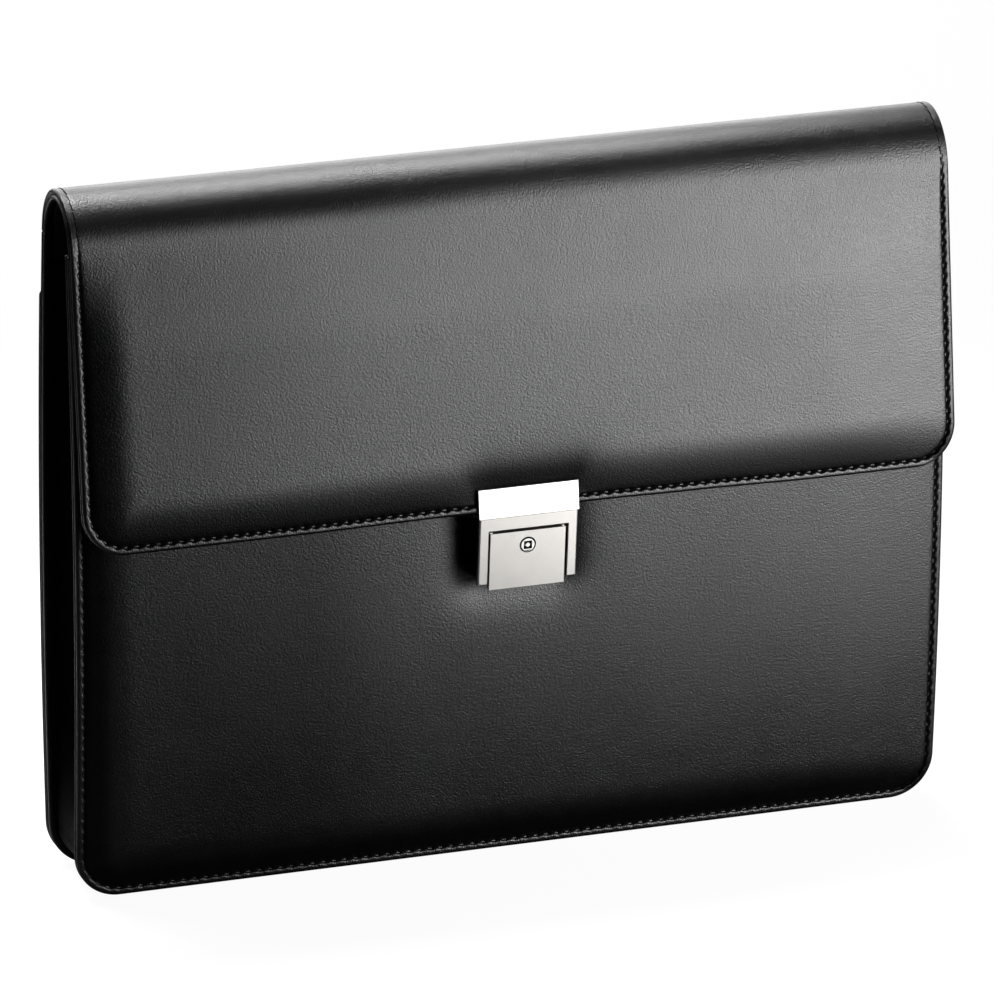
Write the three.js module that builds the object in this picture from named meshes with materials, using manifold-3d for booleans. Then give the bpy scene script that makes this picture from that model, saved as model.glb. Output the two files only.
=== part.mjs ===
// Conference folder: two bowed leather panels joined by a gusset, closed by a flap that
// arches over the top and is held by a metal press lock.
// Millimetres, +Z up. X runs across the width and the front faces -Y.

import * as THREE from "three";
import { mergeVertices } from "three/addons/utils/BufferGeometryUtils.js";
import Module from "manifold-3d";

const wasm = await Module();
wasm.setup();

// Body
const bodyWidth = 380;
const panelHeight = 280;
const cornerRadius = 19;
const frontBaseY = -22;
const frontTopShift = -1;
const frontBow = 6;
const rearBaseY = 20;
const rearTopShift = -4.6;
const rearBow = 6.3;

// Layers of a panel: outer leather, stiffener board, lining
const skinThickness = 1.4;
const boardThickness = 1.6;
const liningThickness = 0.8;
const layerGap = 0.3;
const hemWidth = 3.6;

// Rear slip pocket
const pocketThickness = 1.7;
const pocketHeight = 253;

// Gusset between the panels
const gussetThickness = 0.9;
const gussetInset = 2.5;
const gussetFoldDepth = 26;
const gussetFoldRise = 60;
const gussetTopGap = 12;
const gussetSeamWidth = 4;

// Divider with its document pocket
const dividerThickness = 2.4;
const dividerHeight = 257;
const dividerPocketThickness = 1.2;
const dividerPocketHeight = 165;
const dividerPocketMargin = 6;

// Arch over the top and flap in front
const archHalfDepth = 21.8;
const archRise = 23.7;
const archLiningThickness = 2.1;
const flapLean = 6.85;
const flapLength = 123.2;
const flapCornerRadius = 18;

// Clasp on the flap: front plate, back plate and the frame below them
const claspOverhang = 0.3;
const claspHeight = 12.3;
const claspThickness = 1.6;
const claspDrop = 2.1;
const claspFloorThickness = 1.2;
const claspBackThickness = 1.2;
const rivetRadius = 1.5;
const rivetHeadRadius = 2.6;
const rivetHeadThickness = 0.8;
const rivetSpacing = 28;
const frameWidth = 42.8;
const frameHeight = 30.15;
const frameThickness = 2.8;
const frameBarHeight = 6.3;
const frameLegWidth = 4.3;
const frameChamfer = 0.5;
const lockLean = 5.3;
const seamRecess = 0.3;

// Press plate, its pin, latch hook and the key cylinder that it carries
const pressGap = 0.75;
const pressTopGap = 1.2;
const pressHeight = 25.35;
const pressThickness = 2.4;
const pressRecess = 0.5;
const cheekThickness = 1.2;
const cheekHeight = 6.4;
const pinRadius = 1;
const pinDrop = 10.5;
const springWireRadius = 0.35;
const springCoilRadius = 2;
const springTurns = 5;
const springLength = 6;
const springEndGap = 1;
const springBackGap = 0.35;
const keyDrop = 13.9;
const keyRadius = 3.15;
const keyGap = 0.45;
const keySleeveThickness = 1.3;
const keySleeveLength = 5.2;
const keyPlugProud = 0.25;
const keywaySize = 3.6;
const keywayDepth = 1.4;
const keywayPostRadius = 0.9;
const camLength = 9;
const camWidth = 3.2;
const camThickness = 1;
const latchWidth = 14;
const latchThickness = 1.2;
const latchReach = 1.7;
const keeperDrop = 3.4;
const keeperLip = 3.1;
const keeperReach = 5;

// Lock case on the front panel and what holds it there
const caseHeight = 25;
const caseBaseThickness = 1.4;
const caseWallThickness = 1.4;
const caseWallGap = 0.5;
const caseTopDrop = 5.5;
const caseFaceGap = 0.3;
const lockBackThickness = 1;
const lockScrewRadius = 1.5;
const lockScrewSpacing = 22;
const lockScrewDrop = 18;

// Clearance between pieces that touch or turn in each other
const clearance = 0.3;

// Sizes that follow from the ones above
const claspWidth = frameWidth + 2 * claspOverhang;
const pressTop = -frameBarHeight - pressTopGap;
const pressHalf = frameWidth / 2 - frameLegWidth - pressGap;
const pressBack = pressRecess + pressThickness;
const springOffset = pressHalf - cheekThickness - springEndGap - springWireRadius - springLength / 2;
const lockLeanAngle = THREE.MathUtils.degToRad(lockLean);

// Fineness of the faceted curves
const cornerSteps = 6;
const heightSteps = 8;
const archSteps = 28;
const roundSides = 24;

const panelThickness = skinThickness + layerGap + boardThickness + layerGap + liningThickness;
const halfWidth = bodyWidth / 2;

// Materials, one colour and finish for each kind of surface
const finishes = {
  leather: { color: 0x1b1a1a, roughness: 0.42, metalness: 0 },
  lining: { color: 0x141414, roughness: 0.85, metalness: 0 },
  board: { color: 0x6f675c, roughness: 0.9, metalness: 0 },
  nickel: { color: 0xcfccc6, roughness: 0.3, metalness: 1 },
  steel: { color: 0x8e8d8a, roughness: 0.35, metalness: 1 },
  blackMetal: { color: 0x151515, roughness: 0.4, metalness: 0.6 },
};

const root = new THREE.Group();

function addMesh(parent, name, geometry, finish) {
  const material = new THREE.MeshStandardMaterial(finishes[finish]);
  const mesh = new THREE.Mesh(geometry, material);
  mesh.name = name;
  parent.add(mesh);
  return mesh;
}

// Solids: a closed geometry to a manifold and back

function toSolid(geometry) {
  let plain = geometry.index ? geometry.toNonIndexed() : geometry.clone();
  plain.deleteAttribute("normal");
  plain.deleteAttribute("uv");
  plain = mergeVertices(plain, 1e-4);
  const mesh = new wasm.Mesh({
    numProp: 3,
    vertProperties: new Float32Array(plain.attributes.position.array),
    triVerts: new Uint32Array(plain.index.array),
  });
  return new wasm.Manifold(mesh);
}

function toGeometry(solid) {
  const mesh = solid.getMesh();
  const geometry = new THREE.BufferGeometry();
  geometry.setAttribute("position", new THREE.BufferAttribute(mesh.vertProperties, 3));
  geometry.setIndex(new THREE.BufferAttribute(mesh.triVerts, 1));
  return geometry;
}

function cut(geometry, tools) {
  return toGeometry(tools.reduce((solid, tool) => solid.subtract(toSolid(tool)), toSolid(geometry)));
}

function join(geometries) {
  return toGeometry(geometries.map(toSolid).reduce((a, b) => a.add(b)));
}

// A closed body through rings of points that all lie level, each ring the same length

function loft(rings) {
  const count = rings[0].length;
  const positions = rings.flat().flatMap((point) => [point.x, point.y, point.z]);
  const indices = [];
  for (let level = 0; level < rings.length - 1; level++) {
    for (let i = 0; i < count; i++) {
      const a = level * count + i;
      const b = level * count + ((i + 1) % count);
      indices.push(a, b, b + count, a, b + count, a + count);
    }
  }
  const flat = rings[0].map((point) => new THREE.Vector2(point.x, point.y));
  const last = (rings.length - 1) * count;
  for (const [a, b, c] of THREE.ShapeUtils.triangulateShape(flat, [])) {
    indices.push(a, c, b);
    indices.push(last + a, last + b, last + c);
  }
  const geometry = new THREE.BufferGeometry();
  geometry.setAttribute("position", new THREE.Float32BufferAttribute(positions, 3));
  geometry.setIndex(indices);
  return geometry;
}

// The outline of a strip of even thickness along a path of flat points

function ribbonOutline(path, thickness) {
  const sides = [1, -1].map((side) => path.map((point, i) => {
    const before = path[Math.max(i - 1, 0)];
    const after = path[Math.min(i + 1, path.length - 1)];
    const into = point.clone().sub(before).normalize();
    const out = after.clone().sub(point).normalize();
    const first = i === 0 ? out : into;
    const second = i === path.length - 1 ? into : out;
    const normalA = new THREE.Vector2(-first.y, first.x);
    const normalB = new THREE.Vector2(-second.y, second.x);
    const mitre = normalA.clone().add(normalB).normalize();
    const length = (thickness / 2) / mitre.dot(normalA);
    return point.clone().addScaledVector(mitre, side * length);
  }));
  const outline = [...sides[0].reverse(), ...sides[1]];
  return THREE.ShapeUtils.isClockWise(outline) ? outline.reverse() : outline;
}

// An outline in the YZ plane, made into a bar of the given width across X

function acrossX(outline, width, centre = 0) {
  const shape = new THREE.Shape(outline.map((point) => new THREE.Vector2(point.x, point.y)));
  const geometry = new THREE.ExtrudeGeometry(shape, { depth: width, bevelEnabled: false });
  // the outline's first axis becomes Y, its second Z, and the depth X
  geometry.applyMatrix4(new THREE.Matrix4().makeBasis(
    new THREE.Vector3(0, 1, 0), new THREE.Vector3(0, 0, 1), new THREE.Vector3(1, 0, 0)));
  geometry.translate(centre - width / 2, 0, 0);
  return geometry;
}

// An outline in the XZ plane, made into a plate from y = 0 to y = thickness

function plate(shape, thickness, options = {}) {
  const geometry = new THREE.ExtrudeGeometry(shape, { depth: thickness, bevelEnabled: false, ...options });
  geometry.rotateX(Math.PI / 2);
  geometry.translate(0, thickness, 0);
  return geometry;
}

function box(width, depth, height, x, y, z) {
  return new THREE.BoxGeometry(width, depth, height).translate(x, y, z);
}

function rod(radius, length, axis) {
  const geometry = new THREE.CylinderGeometry(radius, radius, length, roundSides);
  return axis === "x" ? geometry.rotateZ(Math.PI / 2) : geometry;
}

// Side profile of the folder: where the outer face of each panel lies at a height

function bowedFace(baseY, topShift, bow) {
  return (z) => {
    const share = z / panelHeight;
    return baseY + topShift * share + 4 * bow * share * (1 - share);
  };
}

const frontFace = bowedFace(frontBaseY, frontTopShift, -frontBow);
const rearFace = bowedFace(rearBaseY, rearTopShift, rearBow);
const frontInner = (z) => frontFace(z) + panelThickness;
const rearInner = (z) => rearFace(z) - panelThickness;
const middle = (z) => (frontInner(z) + rearInner(z)) / 2;

// Heights of a panel outline with rounded bottom corners, and the half width at each

function outlineLevels(inset, top) {
  const radius = Math.max(cornerRadius - inset, 0.5);
  const levels = [];
  for (let i = 0; i <= cornerSteps; i++) {
    const angle = (i / cornerSteps) * (Math.PI / 2);
    levels.push({
      z: inset + radius * (1 - Math.cos(angle)),
      half: halfWidth - inset - radius * (1 - Math.sin(angle)),
    });
  }
  const start = inset + radius;
  for (let i = 1; i <= heightSteps; i++) {
    levels.push({ z: start + (top - start) * (i / heightSteps), half: halfWidth - inset });
  }
  return levels;
}

// One layer of a panel: from depth `near` to depth `far` behind its outer face

function layer(face, inwards, near, far, inset, top) {
  const rings = outlineLevels(inset, top).map(({ z, half }) => {
    const depths = [face(z) + inwards * near, face(z) + inwards * far];
    const low = Math.min(...depths);
    const high = Math.max(...depths);
    return [
      new THREE.Vector3(-half, low, z),
      new THREE.Vector3(half, low, z),
      new THREE.Vector3(half, high, z),
      new THREE.Vector3(-half, high, z),
    ];
  });
  return loft(rings);
}

// A panel: leather turned round the board's edges, the board, and the lining over it

function addPanel(parent, prefix, face, inwards, holes) {
  const boardNear = skinThickness + layerGap;
  const liningNear = boardNear + boardThickness + layerGap;
  const innerInset = hemWidth + clearance;
  const innerTop = panelHeight - innerInset;
  const outer = layer(face, inwards, 0, panelThickness, 0, panelHeight);
  const recess = layer(face, inwards, skinThickness, panelThickness + skinThickness, hemWidth, panelHeight - hemWidth);
  const board = layer(face, inwards, boardNear, boardNear + boardThickness, innerInset, innerTop);
  const lining = layer(face, inwards, liningNear, panelThickness, innerInset, innerTop);
  addMesh(parent, `${prefix}_skin`, cut(outer, [recess, ...holes]), "leather");
  addMesh(parent, `${prefix}_board`, cut(board, holes), "board");
  addMesh(parent, `${prefix}_lining`, cut(lining, holes), "lining");
}

// Rear slip pocket: one sheet over the rear panel, open along its top edge

function addRearPocket(parent) {
  const near = -(clearance + pocketThickness);
  const sheet = layer(rearFace, -1, near, -clearance, 0, pocketHeight);
  addMesh(parent, "rear_pocket", sheet, "leather");
}

// Side gusset: a sheet sewn inside both panels' edges, folded in between them

function gussetFold(z) {
  const share = Math.min((z - cornerRadius) / gussetFoldRise, 1);
  const eased = share * share * (3 - 2 * share);
  return gussetSeamWidth + clearance + (gussetFoldDepth - gussetSeamWidth) * eased;
}

function sideGussetRing(z, side) {
  const seam = clearance + gussetThickness / 2;
  const edge = halfWidth - gussetInset;
  const path = [
    new THREE.Vector2(edge, frontInner(z) + seam),
    new THREE.Vector2(edge - gussetSeamWidth, frontInner(z) + seam),
    new THREE.Vector2(edge - gussetFold(z), middle(z)),
    new THREE.Vector2(edge - gussetSeamWidth, rearInner(z) - seam),
    new THREE.Vector2(edge, rearInner(z) - seam),
  ].map((point) => new THREE.Vector2(side * point.x, point.y));
  return ribbonOutline(path, gussetThickness).map((point) => new THREE.Vector3(point.x, point.y, z));
}

function addSideGussets(parent) {
  const start = cornerRadius + clearance;
  const end = panelHeight - gussetTopGap;
  for (const [name, side] of [["gusset_left", -1], ["gusset_right", 1]]) {
    const rings = [];
    for (let i = 0; i <= 2 * heightSteps; i++) {
      rings.push(sideGussetRing(start + (end - start) * (i / (2 * heightSteps)), side));
    }
    addMesh(parent, name, loft(rings), "leather");
  }
}

// Bottom gusset: a strip that follows the panels' bottom edge and both corners

function addBottomGusset(parent) {
  const radius = cornerRadius - gussetInset;
  const inner = halfWidth - cornerRadius;
  const path = [];
  for (let i = 0; i <= cornerSteps; i++) {
    const angle = Math.PI + (i / cornerSteps) * (Math.PI / 2);
    path.push(new THREE.Vector2(-inner + radius * Math.cos(angle), cornerRadius + radius * Math.sin(angle)));
  }
  const mirrored = path.map((point) => new THREE.Vector2(-point.x, point.y)).reverse();
  const outline = ribbonOutline([...path, ...mirrored], gussetThickness);
  const strip = plate(new THREE.Shape(outline), 2 * panelHeight);
  strip.translate(0, -panelHeight, 0);
  const rings = [-cornerRadius, 0, cornerRadius / 2, cornerRadius, 2 * cornerRadius].map((z) => {
    const low = frontInner(z) + clearance;
    const high = rearInner(z) - clearance;
    return [
      new THREE.Vector3(-bodyWidth, low, z),
      new THREE.Vector3(bodyWidth, low, z),
      new THREE.Vector3(bodyWidth, high, z),
      new THREE.Vector3(-bodyWidth, high, z),
    ];
  });
  const solid = toSolid(strip).intersect(toSolid(loft(rings)));
  addMesh(parent, "gusset_bottom", toGeometry(solid), "leather");
}

// Divider between the two compartments, with a flat document pocket on its front

function dividerSheet(near, far, half, bottom, top) {
  const rings = [bottom, (bottom + top) / 2, top].map((z) => [
    new THREE.Vector3(-half, middle(z) + near, z),
    new THREE.Vector3(half, middle(z) + near, z),
    new THREE.Vector3(half, middle(z) + far, z),
    new THREE.Vector3(-half, middle(z) + far, z),
  ]);
  return loft(rings);
}

function addDivider(parent) {
  const half = halfWidth - gussetInset - gussetFoldDepth - 2 * gussetThickness - clearance;
  const bottom = gussetInset + gussetThickness / 2 + clearance;
  const front = -dividerThickness / 2;
  const board = dividerSheet(front, -front, half, bottom, bottom + dividerHeight);
  addMesh(parent, "divider", board, "lining");
  const pocketBack = front - clearance;
  const pocket = dividerSheet(pocketBack - dividerPocketThickness, pocketBack, half - dividerPocketMargin,
    bottom + dividerPocketMargin, bottom + dividerPocketHeight);
  addMesh(parent, "divider_pocket", pocket, "lining");
}

// Arch over the top: half an ellipse from the rear panel's top edge to the flap

const archRearY = rearFace(panelHeight);
const archCentreY = archRearY - archHalfDepth;
const archFrontY = archCentreY - archHalfDepth;

function archOutline(near, far) {
  const points = [];
  for (const [depth, backwards] of [[near, false], [far, true]]) {
    for (let i = 0; i <= archSteps; i++) {
      const angle = ((backwards ? archSteps - i : i) / archSteps) * Math.PI;
      points.push(new THREE.Vector2(
        archCentreY + (archHalfDepth - depth) * Math.cos(angle),
        panelHeight + clearance + (archRise - clearance - depth) * Math.sin(angle),
      ));
    }
  }
  return points;
}

function addArch(parent) {
  const liningNear = skinThickness + layerGap;
  const liningFar = liningNear + archLiningThickness;
  addMesh(parent, "arch_skin", acrossX(archOutline(0, skinThickness), bodyWidth), "leather");
  const lining = acrossX(archOutline(liningNear, liningFar), bodyWidth - 2 * clearance);
  addMesh(parent, "arch_lining", lining, "lining");
}

// Flap, drawn hanging straight down from its fold at z = 0 with its outer face at y = 0

function flapShape(inset) {
  const half = halfWidth - inset;
  const radius = Math.max(flapCornerRadius - inset, 0.5);
  const top = -clearance - inset;
  const bottom = -flapLength + inset;
  const shape = new THREE.Shape();
  shape.moveTo(-half, top);
  shape.lineTo(-half, bottom + radius);
  shape.absarc(-half + radius, bottom + radius, radius, Math.PI, 1.5 * Math.PI, false);
  shape.absarc(half - radius, bottom + radius, radius, 1.5 * Math.PI, 2 * Math.PI, false);
  shape.lineTo(half, top);
  return shape;
}

function flapLayer(near, far, inset) {
  const geometry = plate(flapShape(inset), far - near, { curveSegments: cornerSteps });
  return geometry.translate(0, near, 0);
}

const flapFold = new THREE.Group();
flapFold.position.set(0, archFrontY, panelHeight);
flapFold.rotation.x = -THREE.MathUtils.degToRad(flapLean);
root.add(flapFold);

const claspTop = -flapLength - claspDrop + claspHeight;
const claspMiddle = claspTop - (claspHeight - claspDrop) / 2;

function rivetHoles() {
  return [-1, 1].map((side) => rod(rivetRadius + clearance, 8 * panelThickness)
    .translate(side * rivetSpacing / 2, 0, claspMiddle));
}

function addFlap(parent) {
  const boardNear = skinThickness + layerGap;
  const liningNear = boardNear + boardThickness + layerGap;
  const innerInset = hemWidth + clearance;
  const recess = flapLayer(skinThickness, panelThickness + skinThickness, hemWidth);
  const holes = rivetHoles();
  addMesh(parent, "flap_skin", cut(flapLayer(0, panelThickness, 0), [recess, ...holes]), "leather");
  addMesh(parent, "flap_board", cut(flapLayer(boardNear, boardNear + boardThickness, innerInset), holes), "board");
  addMesh(parent, "flap_lining", cut(flapLayer(liningNear, panelThickness, innerInset), holes), "lining");
}

// Clasp: a plate bent under the flap's edge, a back plate, and two rivets through the flap

function addClasp(parent) {
  const front = -clearance - claspThickness;
  const back = panelThickness + clearance + claspBackThickness;
  const floorTop = -flapLength - claspDrop + claspFloorThickness;
  const wall = box(claspWidth, claspThickness, claspHeight, 0, front + claspThickness / 2, claspTop - claspHeight / 2);
  const floor = box(claspWidth, back - front, claspFloorThickness, 0, (front + back) / 2, floorTop - claspFloorThickness / 2);
  addMesh(parent, "clasp_plate", join([wall, floor]), "nickel");

  const backBottom = floorTop + clearance;
  const backHeight = claspTop - backBottom;
  const backPlate = box(claspWidth, claspBackThickness, backHeight, 0, back - claspBackThickness / 2, backBottom + backHeight / 2);
  addMesh(parent, "clasp_back_plate", cut(backPlate, rivetHoles()), "nickel");

  const shankLength = panelThickness + claspBackThickness + 2 * clearance;
  for (const [name, side] of [["clasp_rivet_left", -1], ["clasp_rivet_right", 1]]) {
    const shank = rod(rivetRadius, shankLength).translate(0, shankLength / 2, 0);
    const head = rod(rivetHeadRadius, rivetHeadThickness).translate(0, shankLength + rivetHeadThickness / 2, 0);
    const rivet = addMesh(parent, name, join([shank, head]), "steel");
    rivet.position.set(side * rivetSpacing / 2, 0, claspMiddle);
  }
}

// Lock face: the frame's and press plate's own frame, hung from the clasp plate's lower edge

const claspFoot = new THREE.Vector3(0, -clearance - claspThickness + seamRecess, -flapLength - claspDrop)
  .applyEuler(flapFold.rotation).add(flapFold.position);

const lockFace = new THREE.Group();
lockFace.position.copy(claspFoot);
lockFace.rotation.x = lockLeanAngle;
lockFace.updateMatrix();
root.add(lockFace);

function addClaspFrame(parent) {
  const half = frameWidth / 2;
  const inner = half - frameLegWidth;
  const shape = new THREE.Shape();
  const corners = [
    [-half, frameThickness], [-half, -frameHeight], [-inner, -frameHeight], [-inner, -frameBarHeight],
    [inner, -frameBarHeight], [inner, -frameHeight], [half, -frameHeight], [half, frameThickness],
  ];
  shape.setFromPoints(corners.map(([x, z]) => new THREE.Vector2(x, z)));
  const geometry = plate(shape, frameThickness - 2 * frameChamfer, {
    bevelEnabled: true,
    bevelThickness: frameChamfer,
    bevelSize: frameChamfer,
    bevelOffset: -frameChamfer,
    bevelSegments: 1,
  });
  geometry.translate(0, frameChamfer, 0);
  // the top edge is cut to lie flat below the clasp plate's floor
  const floorTool = box(2 * frameWidth, 4 * frameWidth, frameWidth, 0, 0,
    -flapLength - claspDrop - clearance + frameWidth / 2);
  floorTool.applyMatrix4(new THREE.Matrix4().compose(flapFold.position,
    new THREE.Quaternion().setFromEuler(flapFold.rotation), new THREE.Vector3(1, 1, 1)));
  floorTool.applyMatrix4(lockFace.matrix.clone().invert());
  addMesh(parent, "clasp_frame", cut(geometry, [floorTool]), "nickel");

  // keeper: an angle behind the frame's bar that the latch hook catches
  const start = frameThickness + clearance;
  const lipY = start + keeperReach - latchThickness / 2;
  const keeperPath = [
    new THREE.Vector2(start, -keeperDrop - latchThickness / 2),
    new THREE.Vector2(lipY, -keeperDrop - latchThickness / 2),
    new THREE.Vector2(lipY, -keeperDrop - keeperLip),
  ];
  addMesh(parent, "clasp_keeper", acrossX(ribbonOutline(keeperPath, latchThickness), latchWidth), "steel");
}

// Press plate with two cheeks that turn on a pin in the lock case

function addPressPlate(parent) {
  const face = box(2 * pressHalf, pressThickness, pressHeight, 0, pressRecess + pressThickness / 2, pressTop - pressHeight / 2);
  const cheekEnd = pinDepth + pinRadius + clearance + cheekThickness / 2;
  const cheeks = [-1, 1].map((side) => box(cheekThickness, cheekEnd - pressBack + pressThickness / 2, cheekHeight,
    side * (pressHalf - cheekThickness / 2), (cheekEnd + pressBack - pressThickness / 2) / 2, -pinDrop));
  const pinHole = rod(pinRadius + clearance, bodyWidth, "x").translate(0, pinDepth, -pinDrop);
  const keyHole = rod(keyRadius + keyGap, 4 * pressThickness).translate(0, pressRecess, -keyDrop);
  addMesh(parent, "press_plate", cut(join([face, ...cheeks]), [pinHole, keyHole]), "nickel");

  const hookY = pressBack + clearance + latchThickness / 2;
  const hookPath = [
    new THREE.Vector2(hookY, pressTop - latchReach - latchThickness),
    new THREE.Vector2(hookY, pressTop - latchThickness),
    new THREE.Vector2(hookY + latchReach, pressTop - latchThickness),
  ];
  addMesh(parent, "latch_hook", acrossX(ribbonOutline(hookPath, latchThickness), latchWidth), "steel");
}

// Key cylinder: a sleeve behind the press plate, the plug that turns in it, and its cam

function addKeyCylinder(parent) {
  const sleeveStart = pressBack + clearance;
  const bore = keyRadius + keyGap;
  const wall = [
    [bore, 0], [bore + keySleeveThickness, 0],
    [bore + keySleeveThickness, keySleeveLength], [bore, keySleeveLength], [bore, 0],
  ];
  const sleeve = new THREE.LatheGeometry(wall.map(([r, y]) => new THREE.Vector2(r, y)), roundSides);
  sleeve.translate(0, sleeveStart, -keyDrop);
  const hookHeight = latchReach + latchThickness + 2 * clearance;
  const hookClear = box(latchWidth + 2 * clearance, 2 * (latchReach + latchThickness), hookHeight, 0,
    sleeveStart, pressTop + clearance - hookHeight / 2);
  addMesh(parent, "key_sleeve", cut(sleeve, [hookClear]), "steel");

  const plugStart = pressRecess - keyPlugProud;
  const plugLength = sleeveStart + keySleeveLength - plugStart;
  const plug = rod(keyRadius, plugLength).translate(0, plugStart + plugLength / 2, -keyDrop);
  const slot = box(keywaySize, 2 * keywayDepth, keywaySize, 0, plugStart, -keyDrop);
  const post = rod(keywayPostRadius, keywayDepth).translate(0, plugStart + keywayDepth / 2, -keyDrop);
  addMesh(parent, "key_plug", join([cut(plug, [slot]), post]), "nickel");

  const cam = box(camWidth, camThickness, camLength, 0,
    plugStart + plugLength + clearance + camThickness / 2, -keyDrop - camLength / 4);
  addMesh(parent, "key_cam", cam, "steel");
}

// The case lies on the front panel, and the pin as deep as the spring's coil allows

const caseTop = claspFoot.z - caseTopDrop;
const caseCentreZ = caseTop - caseHeight / 2;
const caseBackY = Math.min(frontFace(caseTop), frontFace(caseTop - caseHeight), frontFace(caseCentreZ)) - clearance;
const pinY = caseBackY - caseBaseThickness - springBackGap - springWireRadius - springCoilRadius;
const pinDepth = (pinY - claspFoot.y - pinDrop * Math.sin(lockLeanAngle)) / Math.cos(lockLeanAngle);
const pinCentre = new THREE.Vector3(0, pinDepth, -pinDrop).applyMatrix4(lockFace.matrix);
const screwZ = claspFoot.z - lockScrewDrop;

// Lock case: a channel on the front panel with two walls that hold the pin

class Coil extends THREE.Curve {
  getPoint(t) {
    const angle = 2 * Math.PI * springTurns * t;
    return new THREE.Vector3((t - 0.5) * springLength,
      springCoilRadius * Math.cos(angle), springCoilRadius * Math.sin(angle));
  }
}

function screwHoles() {
  return [-1, 1].map((side) => rod(lockScrewRadius + clearance, 8 * panelThickness)
    .translate(side * lockScrewSpacing / 2, frontFace(screwZ), screwZ));
}

function addLockCase(parent) {
  const wallX = pressHalf + caseWallGap + caseWallThickness / 2;
  const legDepth = frameThickness + (caseTopDrop + caseHeight) * Math.tan(lockLeanAngle);
  const wallFront = claspFoot.y + legDepth + caseFaceGap;
  const outerWidth = 2 * wallX + caseWallThickness;
  const base = box(outerWidth, caseBaseThickness, caseHeight, 0, caseBackY - caseBaseThickness / 2, caseCentreZ);
  const walls = [-1, 1].map((side) => box(caseWallThickness, caseBackY - wallFront, caseHeight,
    side * wallX, (caseBackY + wallFront) / 2, caseCentreZ));
  const pinHole = rod(pinRadius + clearance, bodyWidth, "x").translate(0, pinCentre.y, pinCentre.z);
  addMesh(parent, "lock_case", cut(join([base, ...walls]), [pinHole, ...screwHoles()]), "blackMetal");

  const pin = rod(pinRadius, outerWidth, "x").translate(0, pinCentre.y, pinCentre.z);
  addMesh(parent, "press_pin", pin, "steel");

  const wire = new THREE.Shape();
  wire.absarc(0, 0, springWireRadius, 0, 2 * Math.PI, false);
  const spring = new THREE.ExtrudeGeometry(wire, {
    steps: 8 * springTurns,
    curveSegments: 3,
    extrudePath: new Coil(),
  });
  spring.translate(springOffset, pinCentre.y, pinCentre.z);
  addMesh(parent, "press_spring", spring, "steel");

  const backNear = frontInner(screwZ) + clearance + frontBow * caseHeight / panelHeight;
  const backPlate = box(outerWidth, lockBackThickness, caseHeight, 0, backNear + lockBackThickness / 2, caseCentreZ);
  addMesh(parent, "lock_back_plate", cut(backPlate, screwHoles()), "steel");

  const screwStart = caseBackY - caseBaseThickness;
  const screwLength = backNear + lockBackThickness - screwStart;
  for (const [name, side] of [["lock_screw_left", -1], ["lock_screw_right", 1]]) {
    const screw = rod(lockScrewRadius, screwLength)
      .translate(side * lockScrewSpacing / 2, screwStart + screwLength / 2, screwZ);
    addMesh(parent, name, screw, "steel");
  }
}

addPanel(root, "rear_panel", rearFace, -1, []);
addRearPocket(root);
addSideGussets(root);
addBottomGusset(root);
addDivider(root);
addArch(root);
addFlap(flapFold);
addClasp(flapFold);
addPanel(root, "front_panel", frontFace, 1, screwHoles());
addClaspFrame(lockFace);
addPressPlate(lockFace);
addKeyCylinder(lockFace);
addLockCase(root);

// The origin is the centre of the footprint's box, at the bottom
const span = new THREE.Box3().setFromObject(root);
root.position.y = -(span.min.y + span.max.y) / 2;

export default root;
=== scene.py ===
"""A closed leather document folder with a press lock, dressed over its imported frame.

Lengths are named in millimetres and turned into metres where a mesh is made. X runs across the
width, the front faces -Y and +Z is up. Every leather piece is a rounded rectangle drawn flat as
(x, t), with t running up the piece, and is then laid on its own curved face by a place function.
"""

import math

import bmesh
import bpy
import numpy as np
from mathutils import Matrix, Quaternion, Vector


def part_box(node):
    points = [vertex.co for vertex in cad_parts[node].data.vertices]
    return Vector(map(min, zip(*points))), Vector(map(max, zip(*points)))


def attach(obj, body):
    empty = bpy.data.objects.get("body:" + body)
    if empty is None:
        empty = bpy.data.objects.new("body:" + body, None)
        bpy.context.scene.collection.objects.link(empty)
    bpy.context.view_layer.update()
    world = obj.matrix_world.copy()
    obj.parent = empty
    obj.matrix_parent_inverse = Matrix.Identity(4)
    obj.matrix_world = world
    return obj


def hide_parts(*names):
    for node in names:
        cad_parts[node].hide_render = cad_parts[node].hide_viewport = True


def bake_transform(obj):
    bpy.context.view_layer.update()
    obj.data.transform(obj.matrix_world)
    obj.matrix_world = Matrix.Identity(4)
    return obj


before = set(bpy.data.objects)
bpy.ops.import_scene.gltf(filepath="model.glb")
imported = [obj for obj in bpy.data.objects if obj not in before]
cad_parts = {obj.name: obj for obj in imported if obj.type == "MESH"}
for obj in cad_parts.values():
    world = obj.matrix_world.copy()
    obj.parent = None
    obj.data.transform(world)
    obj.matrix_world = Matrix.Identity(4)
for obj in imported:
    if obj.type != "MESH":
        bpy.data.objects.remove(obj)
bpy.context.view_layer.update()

MM = 0.001


def frame_box(node):
    """Lowest and highest corner of a CAD node, in millimetres."""
    low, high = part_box(node)
    return np.array(low) / MM, np.array(high) / MM


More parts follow.
